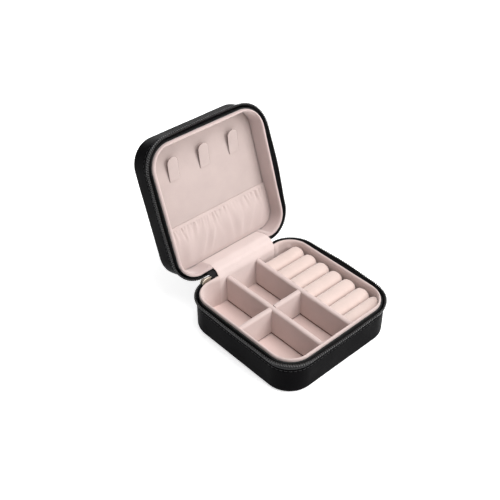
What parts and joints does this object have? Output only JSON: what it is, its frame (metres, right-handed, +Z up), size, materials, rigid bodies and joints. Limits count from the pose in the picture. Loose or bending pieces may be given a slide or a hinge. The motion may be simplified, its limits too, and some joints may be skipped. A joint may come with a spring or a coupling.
{
  "type": "zip-around jewellery case",
  "caption": "Square travel jewellery case with a hinged zip-round lid, divided velvet tray, ring rolls, necklace tabs and a gathered lid pouch.",
  "frame": {"origin": "centre of the underside of the base, where it stands", "axes": "+X along the hinge with the ring section on the +X side, +Y towards the hinge, +Z up; the lid stands open"},
  "size_m": [0.1, 0.1481, 0.1201],
  "materials": {
    "black_leather": "satin",
    "zipper_tape": "matte",
    "zipper_coil": "satin",
    "pink_velvet": "matte",
    "pouch_velvet": "matte",
    "roll_velvet": "matte",
    "greyboard": "matte",
    "foam": "matte",
    "elastic": "matte",
    "champagne_metal": "satin"
  },
  "bodies": {
    "base": {"base_bottom_leather": "black_leather", "base_side_leather": "black_leather", "base_board": "greyboard", "base_frame": "greyboard", "base_liner": "pink_velvet", "base_floor_pad": "pink_velvet", "base_zipper_tape": "zipper_tape", "base_zipper_coil": "zipper_coil", "middle_divider": "pink_velvet", "cross_divider": "pink_velvet", "ring_divider": "pink_velvet", "ring_bed": "roll_velvet", "ring_roll_1": "roll_velvet", "ring_roll_2": "roll_velvet", "ring_roll_3": "roll_velvet", "ring_roll_4": "roll_velvet", "ring_roll_5": "roll_velvet", "ring_roll_6": "roll_velvet", "ring_roll_7": "roll_velvet", "hinge_spine": "black_leather", "hinge_lining": "pink_velvet", "zipper_end_tape": "zipper_tape"},
    "lid": {"lid_leather": "black_leather", "lid_foam": "foam", "lid_board": "greyboard", "lid_frame": "greyboard", "lid_liner": "pink_velvet", "lid_panel": "pink_velvet", "lid_panel_foam": "foam", "lid_pouch": "pouch_velvet", "pouch_elastic": "elastic", "lid_zipper_tape": "zipper_tape", "lid_zipper_coil": "zipper_coil"},
    "tab_1": {"necklace_tab_1": "pink_velvet"},
    "tab_2": {"necklace_tab_2": "pink_velvet"},
    "tab_3": {"necklace_tab_3": "pink_velvet"},
    "slider": {"slider_body": "champagne_metal", "slider_bridge": "champagne_metal"},
    "pull": {"pull_tab": "champagne_metal"}
  },
  "joints": [
    {"name": "lid_hinge", "type": "hinge", "parent": "base", "child": "lid", "pos_m": [0, 0.0485, 0.0269], "axis": [-1, 0, 0], "range_deg": [-108.4, 12], "deforming": ["hinge_spine", "hinge_lining", "zipper_end_tape"]},
    {"name": "slider_run", "type": "hinge", "parent": "base", "child": "slider", "pos_m": [-0.0305, 0.02885, 0.0265], "axis": [0, 0, 1], "range_deg": [0, 90]},
    {"name": "pull_swing", "type": "hinge", "parent": "slider", "child": "pull", "pos_m": [-0.0302, 0.05025, 0.0244], "axis": [1, 0, 0], "range_deg": [-5, 50]},
    {"name": "tab_1_lift", "type": "hinge", "parent": "lid", "child": "tab_1", "pos_m": [-0.025, 0.0811, 0.0853], "axis": [1, 0, 0], "range_deg": [0, 35], "stiffness_Nm_per_rad": 0.0002},
    {"name": "tab_2_lift", "type": "hinge", "parent": "lid", "child": "tab_2", "pos_m": [0, 0.0811, 0.0853], "axis": [1, 0, 0], "range_deg": [0, 35], "stiffness_Nm_per_rad": 0.0002},
    {"name": "tab_3_lift", "type": "hinge", "parent": "lid", "child": "tab_3", "pos_m": [0.025, 0.0811, 0.0853], "axis": [1, 0, 0], "range_deg": [0, 35], "stiffness_Nm_per_rad": 0.0002}
  ]
}
